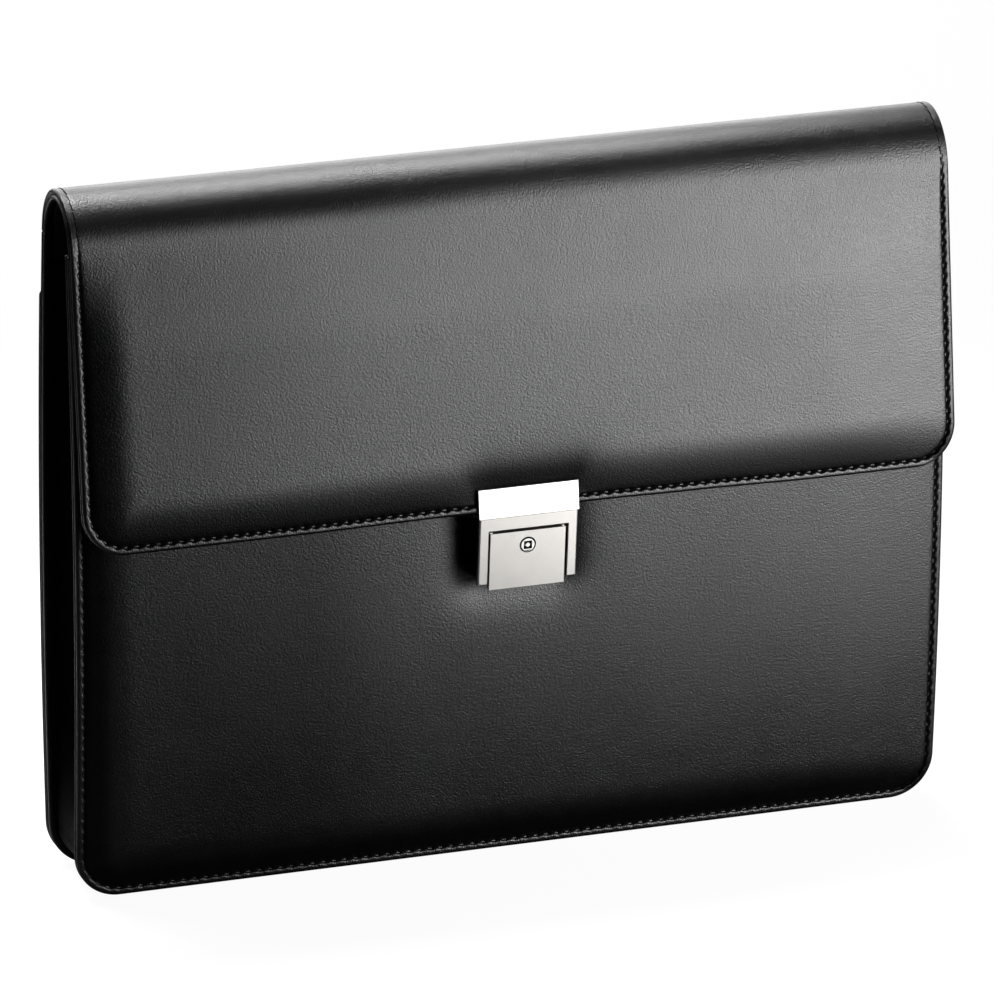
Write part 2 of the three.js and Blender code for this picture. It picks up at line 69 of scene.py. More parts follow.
# Driving sizes of the folder, in millimetres
WIDTH = 380
HEIGHT = 280
CORNER_RADIUS = 19
FRONT_BASE = -22
FRONT_TOP_SHIFT = -1
FRONT_BOW = 6
REAR_BASE = 20
REAR_TOP_SHIFT = -4.6
REAR_BOW = 6.3
PANEL = 4.4
SKIN = 1.4
LINING = 0.8
POCKET_GAP = 0.3
POCKET = 1.7
POCKET_HEIGHT = 253
ARCH_HALF_DEPTH = 21.8
ARCH_RISE = 23.7
FLAP_LEAN = math.radians(6.85)
LOCK_LEAN = math.radians(5.3)
FLAP_LENGTH = 123.2
FLAP_RADIUS = 18
GUSSET_INSET = 2.5
GUSSET_FOLD = 26
GUSSET_RISE = 60
GUSSET_SEAM = 4
GUSSET_CLEARANCE = 0.3
GUSSET_THICKNESS = 0.9
GUSSET_LEAST_FOLD = 0.6
GUSSET_FLAT_WIDTH = 60
HINGE_WIDTH = 24
HINGE_INSET = 4.5
HINGE_THICKNESS = 0.5
DIVIDER_THICKNESS = 2.4
DIVIDER_POCKET_THICKNESS = 1.2
DIVIDER_POCKET_GAP = 0.3
DIVIDER_RADIUS = 4.0
DIVIDER_STITCH_INSET = 2.5

HALF = WIDTH / 2
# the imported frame's origin is the centre of the footprint, so Y is shifted by this much
SHIFT = frame_box("front_panel_skin")[1][1] - (FRONT_BASE + PANEL)

# The gusset's mesh: the share of it that is free to fold, how round its ridge is, and its points
GUSSET_FREE = 0.88
GUSSET_ROUND = 0.012
GUSSET_ACROSS = 25
GUSSET_STEP = 3.0
GUSSET_BOTTOM_POINTS = 90

# Where a sheet is to bend from one body to the next, in metres; here they are only passed on as blends
FOLD_START = (0, -0.0182, 0.2815)
FOLD_END = (0, -0.0222, 0.2680)
HINGE_BEND_START = (0, 0.0205, 0.278)
HINGE_BEND_END = (0, 0.0205, 0.283)
GUSSET_BEND_START = (0, 0.020, 0.1)
GUSSET_BEND_END = (0, -0.008, 0.1)

# The metal pieces that the leather makes room for, measured on their solids
frame_right = frame_box("clasp_frame")[1][0]
press_right = frame_box("press_plate")[1][0]
press_bottom = frame_box("press_plate")[0][2]
clasp_low, clasp_high = frame_box("clasp_plate")
clasp_height = clasp_high[2] - clasp_low[2]

# Stitches, their thread and the turned edge beside them
PITCH = 4.7
STITCH_INSET = 3.4
STITCH_SLANT = 0.22
STITCH_DEPTH = 0.62
THREAD_RADIUS = 0.25
THREAD_END = 0.55
THREAD_SINK = 0.45
THREAD_GAP = 0.07
THREAD_SIDES = 6
THREAD_RINGS = 7
SEAM_DEPTH = 0.6
RIM_ROUND = 1.0
RIM_START = -0.14
UPPER_RADIUS = 0.8
POCKET_UPPER_RADIUS = 2.0
FACE_INSET = 9.6

# The inner side of a leather piece: the turned strip round a shallow tray, and the lining in it
TRAY_INSET = 4.2
TRAY_ROUND = 0.1
TRAY_FLAT_INSET = 6.5
LEAST_BACK = 0.7
LINING_MARGIN = 3.7
LINING_SINK = 0.05
SHEET_ROUND = 0.6
SHEET_BEVEL = 0.12

# Points for each stitch: at the seam, on the face and on the back
FINE = 6
COARSE = 2
BACK_COARSE = 1


def bowed_face(base, top_shift, bow):
    """Y of a panel's outer face at height z."""

    def face(z):
        share = z / HEIGHT
        return SHIFT + base + top_shift * share + 4 * bow * share * (1 - share)

    return face


front_face = bowed_face(FRONT_BASE, FRONT_TOP_SHIFT, -FRONT_BOW)
rear_face = bowed_face(REAR_BASE, REAR_TOP_SHIFT, REAR_BOW)


# Mesh helpers


def add_object(name, data):
    obj = bpy.data.objects.new(name, data)
    bpy.context.scene.collection.objects.link(obj)
    return obj


def make_mesh(name, points, faces, rest, painted_shade=None):
    """An object of points in millimetres; rest keeps each point's flat place for the grain."""
    mesh = bpy.data.meshes.new(name)
    mesh.from_pydata((np.asarray(points, float) * MM).tolist(), [], faces)
    attribute = mesh.attributes.new("flat_place", "FLOAT_VECTOR", "POINT")
    attribute.data.foreach_set("vector", np.asarray(rest, np.float32).ravel())
    # painted_shade holds each point's share of painted shade, which takes the leather's gloss away
    if painted_shade is not None:
        attribute = mesh.attributes.new("painted_shade_share", "FLOAT", "POINT")
        attribute.data.foreach_set("value", np.asarray(painted_shade, np.float32))
    obj = add_object(name, mesh)
    clean = bmesh.new()
    clean.from_mesh(mesh)
    bmesh.ops.remove_doubles(clean, verts=clean.verts, dist=0.01 * MM)
    bmesh.ops.recalc_face_normals(clean, faces=clean.faces)
    clean.to_mesh(mesh)
    clean.free()
    mesh.shade_smooth()
    return obj


def finish_piece(obj, material, slot, body=None, blend=None, replaces=()):
    """Gives a piece its material, and parents it to its body; with a blend it only has its transform
    baked. The slot is not used.
    """
    obj.data.materials.clear()
    obj.data.materials.append(material)
    if blend:
        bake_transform(obj)
    else:
        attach(obj, body)
    if replaces:
        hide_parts(*replaces)


class RoundedRectangle:
    """A flat outline whose rings all have one number of points for each stitch."""

    def __init__(self, half, low, high, low_radius, high_radius):
        self.half, self.low, self.high = half, low, high
        self.low_radius, self.high_radius = low_radius, high_radius
        lengths = (2 * (half - low_radius), high - low - low_radius - high_radius,
                   math.pi / 2 * (low_radius - STITCH_INSET))
        self.across, self.up, self.corner = (max(1, round(length / PITCH)) for length in lengths)

    def ring(self, inset, per_stitch):
        """Points anticlockwise from the left end of the bottom side, one row each of x and t."""
        half, low, high = self.half, self.low, self.high
        near_low = max(self.low_radius, inset)
        near_high = max(self.high_radius, inset)
        turn_low = near_low - inset
        turn_high = near_high - inset

        def line(start, end, stitches):
            share = np.arange(stitches * per_stitch)[:, None] / (stitches * per_stitch)
            return np.array(start) * (1 - share) + np.array(end) * share

        def arc(centre, radius, first_quarter, stitches):
            share = np.arange(stitches * per_stitch) / (stitches * per_stitch)
            angle = (first_quarter + share) * math.pi / 2
            return np.stack([centre[0] + radius * np.cos(angle), centre[1] + radius * np.sin(angle)], 1)

        right_low, right_high = half - near_low, half - near_high
        return np.concatenate([
            line((-right_low, low + inset), (right_low, low + inset), self.across),
            arc((right_low, low + near_low), turn_low, 3, self.corner),
            line((half - inset, low + near_low), (half - inset, high - near_high), self.up),
            arc((right_high, high - near_high), turn_high, 0, 1),
            line((right_high, high - inset), (-right_high, high - inset), self.across),
            arc((-right_high, high - near_high), turn_high, 1, 1),
            line((inset - half, high - near_high), (inset - half, low + near_low), self.up),
            arc((-right_low, low + near_low), turn_low, 2, self.corner),
        ])

    def grid(self, inset, per_stitch):
        """The inner rectangle as a grid that meets the ring of the same inset."""
        columns = self.across * per_stitch + 1
        rows = self.up * per_stitch + 1
        x = np.linspace(inset - self.half, self.half - inset, columns)
        t = np.linspace(self.low + inset, self.high - inset, rows)
        points = np.stack(np.meshgrid(x, t), -1).reshape(-1, 2)
        return points, columns, rows


def ring_faces(first, second, count):
    """Quads between two rings of equal length that start at these indices."""
    return [
        (first + i, first + (i + 1) % count, second + (i + 1) % count, second + i)
        for i in range(count)
    ]


def step_faces(coarse, fine, coarse_count, ratio):
    """Triangles between a ring and one with ratio times as many points."""
    faces = []
    fine_count = coarse_count * ratio
    for i in range(coarse_count):
        after = coarse + (i + 1) % coarse_count
        for j in range(ratio):
            a = fine + i * ratio + j
            b = fine + (i * ratio + j + 1) % fine_count
            faces.append((coarse + i if j < (ratio + 1) // 2 else after, a, b))
            if j == (ratio + 1) // 2 - 1:
                faces.append((coarse + i, b, after))
    return faces


def grid_faces(first, columns, rows):
    """Quads of a grid whose points are kept row by row."""
    return [
        (first + r * columns + c, first + r * columns + c + 1,
         first + (r + 1) * columns + c + 1, first + (r + 1) * columns + c)
        for r in range(rows - 1) for c in range(columns - 1)
    ]


def full_share(x, t):
    """The share 1 at every point."""
    return np.ones(len(x))


class Shell:
    """Collects rings and grids of one closed leather or cloth piece."""

    def __init__(self, outline, place, field=None, puff=None, pull=None):
        self.outline, self.place, self.field = outline, place, field
        self.puff = puff or full_share
        self.pull = pull or full_share
        self.flat, self.depths, self.faces = [], [], []
        self.count = 0
        self.last = None

    def _add(self, flat, depth):
        """Keeps these points, and says where they start."""
        start = self.count
        self.flat.append(flat)
        self.depths.append(np.broadcast_to(depth, (len(flat),)).astype(float))
        self.count += len(flat)
        return start

    def ring(self, inset, depth, per_stitch, scallop=0.0, wave=0.0, dented=0.0, sewn=False):
        """One ring; at each stitch hole it lies deeper by scallop and further out by wave."""
        flat = self.outline.ring(inset, per_stitch)
        phase = 2 * math.pi * np.arange(len(flat)) / per_stitch
        hole = (0.5 + 0.5 * np.cos(phase)) * self.pull(flat[:, 0], flat[:, 1])
        deep = depth + scallop * hole
        if sewn:
            deep = deep * self.puff(flat[:, 0], flat[:, 1])
        if wave:
            pulled = self.outline.ring(inset - wave, per_stitch)
            flat = flat + (pulled - flat) * hole[:, None]
        if self.field is not None and dented:
            deep = deep + dented * self.field(flat[:, 0], flat[:, 1])
        start = self._add(flat, deep)
        if self.last is not None:
            before, before_count, before_step = self.last
            if before_step == per_stitch:
                self.faces += ring_faces(before, start, len(flat))
            elif before_step < per_stitch:
                self.faces += step_faces(before, start, before_count, per_stitch // before_step)
            else:
                self.faces += step_faces(start, before, len(flat), before_step // per_stitch)
        self.last = (start, len(flat), per_stitch)

    def grid(self, inset, depth, per_stitch, dented=0.0):
        """The field inside the ring of the same inset."""
        flat, columns, rows = self.outline.grid(inset, per_stitch)
        deep = np.full(len(flat), float(depth))
        if self.field is not None and dented:
            deep = deep + dented * self.field(flat[:, 0], flat[:, 1])
        start = self._add(flat, deep)
        self.faces += grid_faces(start, columns, rows)

    def build(self, name, painted_shade=None):
        """The object, with each point's share of painted shade, which takes its gloss away."""
        flat = np.concatenate(self.flat)
        depth = np.concatenate(self.depths)
        points = self.place(flat[:, 0], flat[:, 1], depth)
        rest = np.column_stack([flat, depth])
        share = None
        if painted_shade is not None:
            # the rounded lower rim gets full painted shade too, standing in for the shadow line under the
            # hem
            rim = (flat[:, 1] < self.outline.low + RIM_ROUND) & (depth > RIM_START)
            share = np.where(rim, 1.0, painted_shade(flat[:, 0], flat[:, 1]))
        return make_mesh(name, points, self.faces, rest, painted_shade=share)


# Section of a turned edge, from the face over the stitches to the rim:
# inset, depth, and near the stitches how far each hole pulls it down and out
EDGE_SECTION = [
    (8.0, 0.0),
    (6.8, 0.0),
    (5.8, 0.02),
    (5.0, 0.06, 0.02, 0.0),
    (4.4, 0.14, 0.06, 0.0),
    (4.0, 0.28, 0.10, 0.0),
    (3.7, 0.55, 0.20, 0.0),
    (3.5, 0.85, 0.25, 0.10),
    (3.35, 0.90, 0.30, 0.3),
    (3.2, 0.62, 0.40, 0.5),
    (3.0, 0.10, 0.45, 0.6),
    (2.75, -0.14, 0.30, 0.55),
    (2.4, -0.22, 0.12, 0.35),
    (1.8, -0.24, 0.0, 0.1),
    (1.2, -0.22),
    (0.85, -0.12),
    (0.5, 0.08),
    (0.22, 0.35),
    (0.05, 0.65),
    (0.0, 0.9),
]

# Section of the rim: inset, and depth as a share of the thickness. It has two lips, with the
# dark seam between the skin and the lining.
RIM_SECTION = [
    (0.0, 0.27),
    (0.12, 0.29),
    (SEAM_DEPTH, 0.31),
    (SEAM_DEPTH, 0.68),
    (0.12, 0.70),
    (0.0, 0.74),
    (0.0, 0.86),
    (0.12, 0.94),
    (0.4, 0.985),
    (0.9, 1.0),
    (3.3, 1.0),
]

# Section of the turned strip's end on the inner side: inset, and how far it is below that side
TURN_SECTION = [(3.6, 0.12), (3.7, 0.5)]


def leather_panel(name, outline, place, thickness, field=None, puff=None, painted_shade=None, pull=None):
    """A leather skin turned round its edges: a face, a puffed and stitched rim, and a turned back."""
    shell = Shell(outline, place, field, puff, pull)
    deepest = max(outline.low_radius, outline.high_radius)
    shell.grid(deepest, 0.0, COARSE, dented=1.0)
    for share in (0.0, 0.25, 0.5, 0.75, 1.0):
        shell.ring(deepest + share * (FACE_INSET - deepest), 0.0, COARSE, dented=1.0)
    for inset, depth, *pulled in EDGE_SECTION:
        weight = min(max((inset - STITCH_INSET) / 2, 0), 1)
        if inset < RIM_ROUND:
            depth = depth * thickness / PANEL
        shell.ring(inset, depth, FINE, *pulled, dented=weight, sewn=inset > RIM_ROUND)
    for inset, share in RIM_SECTION:
        shell.ring(inset, share * thickness, FINE)
    for inset, below in TURN_SECTION:
        shell.ring(inset, thickness - below, FINE)
    inner = min(SKIN, thickness - LEAST_BACK)
    shell.ring(TRAY_INSET, inner + TRAY_ROUND, FINE)
    shell.ring(TRAY_FLAT_INSET, inner, BACK_COARSE)
    shell.ring(deepest, inner, BACK_COARSE)
    shell.grid(deepest, inner, BACK_COARSE)
    return shell.build(name, painted_shade)


def cloth_panel(name, outline, place, near, far):
    """A thin lining sheet with softly rounded edges between two depths."""
    shell = Shell(outline, place)
    deepest = max(outline.low_radius, outline.high_radius, 1.0)
    shell.grid(deepest, far, BACK_COARSE)
    shell.ring(deepest, far, BACK_COARSE)
    shell.ring(SHEET_ROUND, far, BACK_COARSE)
    shell.ring(SHEET_ROUND / 4, far - SHEET_BEVEL, BACK_COARSE)
    shell.ring(0.0, (near + far) / 2, BACK_COARSE)
    shell.ring(SHEET_ROUND / 4, near + SHEET_BEVEL, BACK_COARSE)
    shell.ring(SHEET_ROUND, near, BACK_COARSE)
    shell.ring(deepest, near, BACK_COARSE)
    shell.grid(deepest, near, BACK_COARSE)
    return shell.build(name)


def stitch_row(name, outline, place, depth=STITCH_DEPTH, keep=None, inset=STITCH_INSET, puff=None):
    """Every thread of a row of stitches round an outline, as small sunk arcs."""
    line = outline.ring(inset, FINE)
    inner = outline.ring(inset + STITCH_SLANT, FINE)
    outer = outline.ring(inset - STITCH_SLANT, FINE)
    count = len(line) // FINE
    sides = THREAD_SIDES
    along = THREAD_RINGS
    rise = np.sin(math.pi * np.linspace(0, 1, along))
    radius = THREAD_RADIUS * np.where(rise > 0.1, 1.0, THREAD_END)
    share = np.linspace(0, 1, FINE + 1)[:, None]
    at = np.linspace(THREAD_GAP, 1 - THREAD_GAP, along)
    points, faces = [], []
    for i in range(count):
        index = (i * FINE + np.arange(FINE + 1)) % len(line)
        path = outer[index] * (1 - share) + inner[index] * share
        if keep is not None and not keep(path[:, 0].mean(), path[:, 1].mean()):
            continue
        x = np.interp(at, share[:, 0], path[:, 0])
        t = np.interp(at, share[:, 0], path[:, 1])
        deep = (puff or full_share)(x, t) * (depth + THREAD_SINK - THREAD_SINK * rise ** 0.6)
        step = np.array([x[-1] - x[0], t[-1] - t[0]])
        step = step / np.linalg.norm(step)
        side_way = np.array([-step[1], step[0]])
        start = len(points)
        for k in range(along):
            for s in range(sides):
                angle = 2 * math.pi * s / sides
                off = radius[k] * math.cos(angle) * side_way
                points.append((x[k] + off[0], t[k] + off[1], deep[k] + radius[k] * math.sin(angle)))
        for k in range(along - 1):
            a, b = start + k * sides, start + (k + 1) * sides
            faces += ring_faces(a, b, sides)
        faces.append(tuple(start + s for s in range(sides)))
        faces.append(tuple(start + (along - 1) * sides + s for s in reversed(range(sides))))
    flat = np.array(points)
    placed = place(flat[:, 0], flat[:, 1], flat[:, 2])
    return make_mesh(name, placed, faces, flat)


# Place functions: flat x and t and a depth into the piece, to a point in the frame


def place_front(x, t, depth):
    return np.column_stack([x, front_face(t) + depth, t])


def place_rear(x, t, depth):
    return np.column_stack([x, rear_face(t) - depth, t])


def soft_step(value, start, end):
    """0 at start and 1 at end with no kink."""
    share = np.clip((value - start) / (end - start), 0, 1)
    return share * share * (3 - 2 * share)


# The fold between flap and arch, and how the flap's lower edge droops beside the clasp
FOLD_SOFTNESS = 4.0
HANG_ROOM = 4.0
HANG_REACH = 80
HANG_START = 30
HANG_LEFT = 0.6
HANG_RIGHT = 0.45
HANG_FAR_RIGHT = 0.9


def hang(x):
    """How far the flap's lower edge droops beside the clasp, most at the right."""
    left = HANG_LEFT * soft_step(-x, HANG_START, 100)
    right = HANG_RIGHT * soft_step(x, HANG_START, 70) + HANG_FAR_RIGHT * soft_step(x, 70, 130)
    return left + right


class TopPath:
    """The flap and the arch as one line from the flap's lower edge to the rear panel's top."""

    def __init__(self):
        rear_foot = rear_face(HEIGHT)
        centre = rear_foot - ARCH_HALF_DEPTH
        front_foot = centre - ARCH_HALF_DEPTH
        down = np.linspace(FLAP_LENGTH + HANG_ROOM, 0, 500)[:-1]
        flap_y = front_foot - down * math.sin(FLAP_LEAN)
        flap = np.stack([flap_y, HEIGHT - down * math.cos(FLAP_LEAN)], 1)
        angle = np.linspace(0, math.pi, 400)
        arch_y = centre - ARCH_HALF_DEPTH * np.cos(angle)
        arch = np.stack([arch_y, HEIGHT + ARCH_RISE * np.sin(angle)], 1)
        line = np.concatenate([flap, arch])
        steps = np.linalg.norm(np.diff(line, axis=0), axis=1)
        length = np.concatenate([[0], np.cumsum(steps)]) - HANG_ROOM
        self.length = length[-1]
        self.at = np.linspace(-HANG_ROOM, self.length, 900)
        even = np.stack([np.interp(self.at, length, line[:, k]) for k in (0, 1)], 1)
        self.line = self._soften(even, FOLD_SOFTNESS)
        tangent = np.gradient(self.line, self.at, axis=0)
        tangent /= np.linalg.norm(tangent, axis=1)[:, None]
        # turned a quarter, the tangent points into the folder
        self.inward = np.stack([tangent[:, 1], -tangent[:, 0]], 1)

    def _soften(self, line, reach):
        """The line averaged over a reach, with its ends kept in place."""
        step = self.at[1] - self.at[0]
        radius = int(3 * reach / step)
        kernel = np.exp(-0.5 * (np.arange(-radius, radius + 1) * step / reach) ** 2)
        kernel /= kernel.sum()
        soft = []
        for k in (0, 1):
            start = 2 * line[0, k] - line[radius:0:-1, k]
            end = 2 * line[-1, k] - line[-2:-radius - 2:-1, k]
            soft.append(np.convolve(np.concatenate([start, line[:, k], end]), kernel, "valid"))
        return np.stack(soft, 1)

    def place(self, x, t, depth):
        """The point at x, t and a depth towards the inside, in the frame."""
        t = t - hang(x) * soft_step(t, HANG_REACH, 0)
        y, z, inward_y, inward_z = (
            np.interp(t, self.at, row)
            for row in (self.line[:, 0], self.line[:, 1], self.inward[:, 0], self.inward[:, 1])
        )
        return np.column_stack([x, y + inward_y * depth, z + inward_z * depth])


top_path = TopPath()


# Materials


class Nodes:
    """Shorthand for building one node tree."""

    def __init__(self, owner, output="OutputMaterial"):
        self.owner = owner
        owner.use_nodes = True
        self.tree = owner.node_tree
        self.tree.nodes.clear()
        self.output = self.add(output)

    def add(self, kind, **settings):
        node = self.tree.nodes.new("ShaderNode" + kind)
        for key, value in settings.items():
            setattr(node, key, value)
        return node

    def link(self, output, target):
        self.tree.links.new(output, target)

    def math(self, operation, a, b=0.0, clamp=False):
        node = self.add("Math", operation=operation, use_clamp=clamp)
        for socket, value in zip(node.inputs, (a, b)):
            if isinstance(value, (int, float)):
                socket.default_value = value
            else:
                self.link(value, socket)
        return node.outputs[0]

    def weighted(self, a, share, b, other):
        """The sum of two values, each times its share."""
        return self.math("ADD", self.math("MULTIPLY", a, share), self.math("MULTIPLY", b, other))

    def ramp(self, factor, stops):
        node = self.add("ValToRGB")
        elements = node.color_ramp.elements
        while len(elements) > len(stops):
            elements.remove(elements[-1])
        while len(elements) < len(stops):
            elements.new(1.0)
        for element, (position, value) in zip(elements, stops):
            element.position = position
            element.color = (*value, 1) if isinstance(value, tuple) else (value, value, value, 1)
        self.link(factor, node.inputs["Fac"])
        return node.outputs["Color"]

    def fed(self, node, vector, output, **inputs):
        """An output of a node that takes the vector."""
        for key, value in inputs.items():
            node.inputs[key].default_value = value
        self.link(vector, node.inputs["Vector"])
        return node.outputs[output]

    def noise(self, vector, scale, detail=2.0, roughness=0.5):
        node = self.add("TexNoise")
        return self.fed(node, vector, "Fac", Scale=scale, Detail=detail, Roughness=roughness)

    def cells(self, vector, scale):
        return self.fed(self.add("TexVoronoi"), vector, "Distance", Scale=scale)

    def wave(self, vector, direction, scale, distortion=0.0):
        node = self.add("TexWave", wave_type="BANDS", bands_direction=direction)
        return self.fed(node, vector, "Fac", Scale=scale, Distortion=distortion, Detail=1.0)

    def scaled(self, vector, scale):
        return self.fed(self.add("Mapping"), vector, "Vector", Scale=scale)

    def brushed(self, place, way, roughness=0.6):
        return self.noise(self.scaled(place, way), 1.0, detail=3.0, roughness=roughness)

    def seen_directly(self, path):
        """1 where the camera looks at the surface, through glass too."""
        return self.math("MAXIMUM", path.outputs["Is Camera Ray"], path.outputs["Is Transmission Ray"])

    def split(self, vector):
        """The vector's three parts."""
        node = self.add("SeparateXYZ")
        self.link(vector, node.inputs["Vector"])
        return node.outputs

    def painted_shade_mix(self, colour, share):
        """The colour, turned near black by painted shade where share is 1."""
        node = self.add("Mix", data_type="RGBA")
        self.link(share, node.inputs[0])
        self.link(colour, node.inputs[6])
        node.inputs[7].default_value = PAINTED_SHADE_BLACK
        return node.outputs[2]

    def bump(self, height, strength, distance, normal=None):
        node = self.add("Bump")
        node.inputs["Strength"].default_value = strength
        node.inputs["Distance"].default_value = distance
        self.link(height, node.inputs["Height"])
        if normal is not None:
            self.link(normal, node.inputs["Normal"])
        return node.outputs["Normal"]

    def principled(self, **values):
        node = self.add("BsdfPrincipled")
        for key, value in values.items():
            socket = node.inputs[key.replace("_", " ")]
            if isinstance(value, (int, float, tuple)):
                socket.default_value = value
            else:
                self.link(value, socket)
        self.link(node.outputs["BSDF"], self.output.inputs["Surface"])
        return node

    def metal(self, tint, rough, grain, strength=0.12):
        normal = self.bump(grain, strength, BRUSH_DEPTH * MM)
        self.principled(Base_Color=tint, Metallic=1.0, Roughness=rough, Normal=normal)
        return self.owner

    def flat_place(self):
        """The point's place on the flat piece, in millimetres."""
        node = self.add("Attribute", attribute_name="flat_place")
        return node.outputs["Vector"]

    def object_place(self):
        """The point's place in the object's own frame, in millimetres."""
        node = self.add("TexCoord")
        return self.scaled(node.outputs["Object"], (1 / MM, 1 / MM, 1 / MM))


def new_material(name):
    return Nodes(bpy.data.materials.new(name))


# Grain sizes are counts for each millimetre
LEATHER_CELLS = 1.2
LEATHER_PORES = 1.4
LEATHER_PATCHES = 0.11
LEATHER_SHEEN = 0.022
GRAIN_DEPTH = 0.24
PAINTED_SHADE_STRENGTH = 0.84
WEAVE = 0.55
TWIST = 1.4
BRUSHED_ALONG_X = (0.25, 9, 9)
BRUSHED_ALONG_Z = (9, 9, 0.25)
BRUSH_DEPTH = 0.02

NICKEL = (0.585, 0.567, 0.542)
PAINTED_SHADE_BLACK = (0.01, 0.01, 0.01, 1)

# Where painted shade turns the finish dark: the walls of the frame's opening, and the ring and keyway of
# the plug
FRAME_FACE_DEPTH = 0.3
FRAME_WALL_REACH = 1.05
KEY_PLUG_DROP = 0.4
KEY_FACE_DEPTH = 0.5
KEY_POST_RADIUS = 0.98
KEYWAY_REACH = 2.7
KEY_FACE_RADIUS = 2.85


def leather_material(name, dark, light, roughness, grain=1.0, shine=0.5):
    """Smooth black grained leather: small cells, fine pores and slow changes in sheen."""
    n = new_material(name)
    place = n.flat_place()
    cells = n.cells(place, LEATHER_CELLS)
    pores = n.noise(place, LEATHER_PORES, detail=3.0, roughness=0.6)
    slow = n.noise(place, LEATHER_SHEEN, detail=4.0, roughness=0.55)
    patches = n.noise(place, LEATHER_PATCHES, detail=5.0, roughness=0.6)
    shade = n.weighted(patches, 0.6, pores, 0.4)
    colour = n.ramp(shade, [(0.3, dark), (0.7, light)])
    gloss = n.weighted(slow, 0.10, patches, 0.08)
    rough = n.math("ADD", gloss, roughness - 0.09, clamp=True)
    rough = n.math("ADD", rough, n.math("MULTIPLY", pores, 0.06))
    height = n.weighted(cells, 0.2, pores, 0.9)
    # painted shade: the specular level drops by the painted_shade_share attribute where shade falls
    painted_shade = n.add("Attribute", attribute_name="painted_shade_share").outputs["Fac"]
    shine_left = n.math("SUBTRACT", 1.0, n.math("MULTIPLY", painted_shade, PAINTED_SHADE_STRENGTH))
    normal = n.bump(patches, 0.15, 0.3 * MM)
    normal = n.bump(height, grain, GRAIN_DEPTH * MM, normal)
    n.principled(Base_Color=colour, Roughness=rough, Normal=normal,
                 Specular_IOR_Level=n.math("MULTIPLY", shine_left, shine))
    return n.owner


def cloth_material(name, dark, light):
    """A dull woven lining."""
    n = new_material(name)
    place = n.flat_place()
    weave = n.math("MULTIPLY", *(n.wave(place, way, WEAVE, distortion=0.6) for way in "XY"))
    slow = n.noise(place, 0.06, detail=3.0)
    colour = n.ramp(n.weighted(weave, 0.6, slow, 0.4), [(0.2, dark), (0.8, light)])
    rough = n.math("ADD", n.math("MULTIPLY", weave, 0.1), 0.78)
    normal = n.bump(weave, 0.5, 0.12 * MM)
    n.principled(Base_Color=colour, Roughness=rough, Normal=normal)
    return n.owner


def thread_material():
    """Twisted black sewing thread."""
    n = new_material("thread")
    twist = n.wave(n.flat_place(), "DIAGONAL", TWIST)
    colour = n.ramp(twist, [(0.2, 0.0005), (0.9, 0.002)])
    normal = n.bump(twist, 0.6, 0.08 * MM)
    n.principled(Base_Color=colour, Roughness=0.65, Normal=normal, Specular_IOR_Level=0.03)
    return n.owner


def metal_material(name, colour, roughness, brushed=BRUSHED_ALONG_Z):
    """Satin metal with a fine brushed grain and faint wear."""
    n = new_material(name)
    place = n.object_place()
    grain = n.brushed(place, brushed)
    smudge = n.noise(place, 0.12, detail=4.0, roughness=0.6)
    low = tuple(0.90 * c for c in colour)
    tint = n.ramp(n.weighted(grain, 0.5, smudge, 0.5), [(0.3, low), (0.7, colour)])
    rough = n.math("ADD", n.math("MULTIPLY", grain, 0.10), roughness - 0.08)
    rough = n.math("ADD", rough, n.math("MULTIPLY", smudge, 0.08), clamp=True)
    return n.metal(tint, rough, grain)


def frame_material():
    """Satin nickel with painted shade, near black, on the inner walls of the frame's opening."""
    n = new_material("frame_nickel")
    place = n.object_place()
    axes = n.split(place)
    points = [v.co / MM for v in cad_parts["clasp_frame"].data.vertices]
    front = min(p.y * math.cos(LOCK_LEAN) + p.z * math.sin(LOCK_LEAN) for p in points)
    forward = n.weighted(axes["Y"], math.cos(LOCK_LEAN), axes["Z"], math.sin(LOCK_LEAN))
    sunk = n.math("GREATER_THAN", forward, front + FRAME_FACE_DEPTH)
    inside = n.math("LESS_THAN", n.math("ABSOLUTE", axes["X"]), press_right + FRAME_WALL_REACH)
    grain = n.brushed(place, BRUSHED_ALONG_Z)
    bright = n.ramp(grain, [(0.3, tuple(0.92 * c for c in NICKEL)), (0.7, NICKEL)])
    # painted shade on the opening's inner walls, so the gap round the press plate reads black
    tint = n.painted_shade_mix(bright, n.math("MULTIPLY", sunk, inside))
    rough = n.math("ADD", n.math("MULTIPLY", grain, 0.1), 0.27)
    return n.metal(tint, rough, grain)


def keyway_material():
    """The plug's nickel face with painted shade in the keyway round its post and in the ring round the
    plug.
    """
    n = new_material("plug_nickel")
    place = n.object_place()
    axes = n.split(place)
    plug_low, plug_high = frame_box("key_plug")
    x = axes["X"]
    z = n.math("SUBTRACT", axes["Z"], (plug_low[2] + plug_high[2]) / 2 - KEY_PLUG_DROP)
    far = n.math("SQRT", n.weighted(x, x, z, z))
    inside = n.math("MULTIPLY", n.math("GREATER_THAN", far, KEY_POST_RADIUS),
                    n.math("LESS_THAN", far, KEYWAY_REACH))
    sunk = n.math("GREATER_THAN", axes["Y"], plug_low[1] + KEY_FACE_DEPTH)
    ring = n.math("GREATER_THAN", far, KEY_FACE_RADIUS)
    grain = n.brushed(place, BRUSHED_ALONG_Z, roughness=0.5)
    bright = n.ramp(grain, [(0.3, (0.74, 0.73, 0.71)), (0.7, (0.80, 0.79, 0.77))])
    # painted shade in the keyway and in the narrow gap round the plug
    tint = n.painted_shade_mix(bright, n.math("MAXIMUM", n.math("MULTIPLY", inside, sunk), ring))
    return n.metal(tint, 0.28, grain, strength=0.1)


